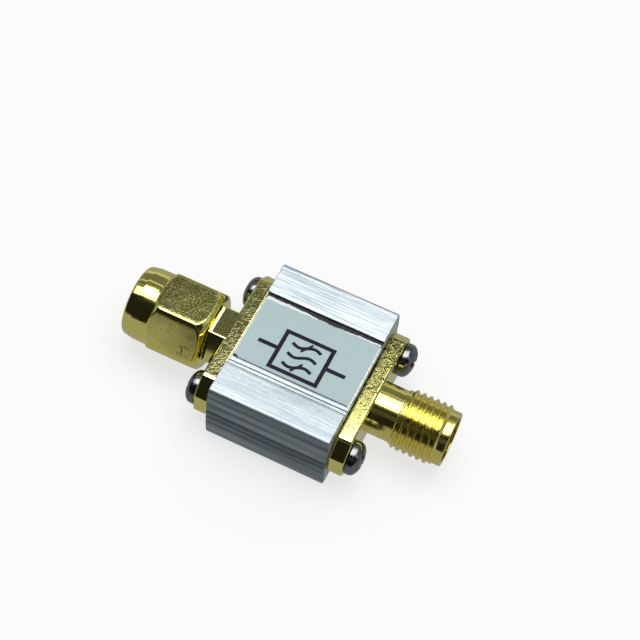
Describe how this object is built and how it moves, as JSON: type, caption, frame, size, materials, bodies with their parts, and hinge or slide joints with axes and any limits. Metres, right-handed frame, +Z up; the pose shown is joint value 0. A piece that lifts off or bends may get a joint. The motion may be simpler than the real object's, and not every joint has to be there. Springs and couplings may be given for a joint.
{
  "type": "inline surface acoustic wave filter",
  "caption": "Inline radio filter: extruded aluminium sleeve with a label channel, a flanged threaded jack at one end and a flanged plug with a free coupling nut at the other.",
  "frame": {"origin": "bottom centre of the overall box; the part rests on the two lands of its underside at Z 0", "axes": "+X along the coaxial line towards the threaded jack, the coupling nut at -X; +Z up, out of the label; the viewer's side of the picture at -Y"},
  "size_m": [0.034, 0.0172, 0.0084],
  "materials": {
    "brushed_aluminium": "brushed extruded aluminium",
    "gold_plate": "gold plated brass",
    "nickel_plated_steel": "nickel plated",
    "spring_bronze": "plain spring bronze",
    "silicone_gasket": "matte red-brown silicone rubber",
    "white_ptfe": "white, slightly waxy",
    "label_paper": "thin self-adhesive label stock",
    "green_board": "green solder mask on glass laminate",
    "tinned_copper": "tinned copper trace",
    "alumina_ceramic": "fired ceramic",
    "kovar_lid": "thin plated lid",
    "capacitor_ceramic": "brown ceramic chip",
    "inductor_ferrite": "dark ferrite chip",
    "solder": "bright solder"
  },
  "bodies": {
    "filter_body": {"housing": "brushed_aluminium", "label": "label_paper", "male_body": "gold_plate", "snap_ring": "spring_bronze", "female_body": "gold_plate", "male_insulator": "white_ptfe", "female_insulator": "white_ptfe", "male_center_pin": "gold_plate", "female_center_socket": "gold_plate", "male_front_screw": "nickel_plated_steel", "male_back_screw": "nickel_plated_steel", "female_front_screw": "nickel_plated_steel", "female_back_screw": "nickel_plated_steel", "circuit_board": "green_board", "saw_filter_package": "alumina_ceramic", "saw_filter_lid": "kovar_lid", "input_trace": "tinned_copper", "output_trace": "tinned_copper", "input_solder_joint": "solder", "output_solder_joint": "solder", "input_capacitor": "capacitor_ceramic", "output_capacitor": "capacitor_ceramic", "input_inductor": "inductor_ferrite", "output_inductor": "inductor_ferrite"},
    "nut": {"coupling_nut": "gold_plate", "nut_gasket": "silicone_gasket"}
  },
  "joints": [
    {"name": "coupling_nut_spin", "type": "hinge", "parent": "filter_body", "child": "nut", "pos_m": [-0.01277, 0, 0.0042], "axis": [1, 0, 0], "continuous": true}
  ]
}
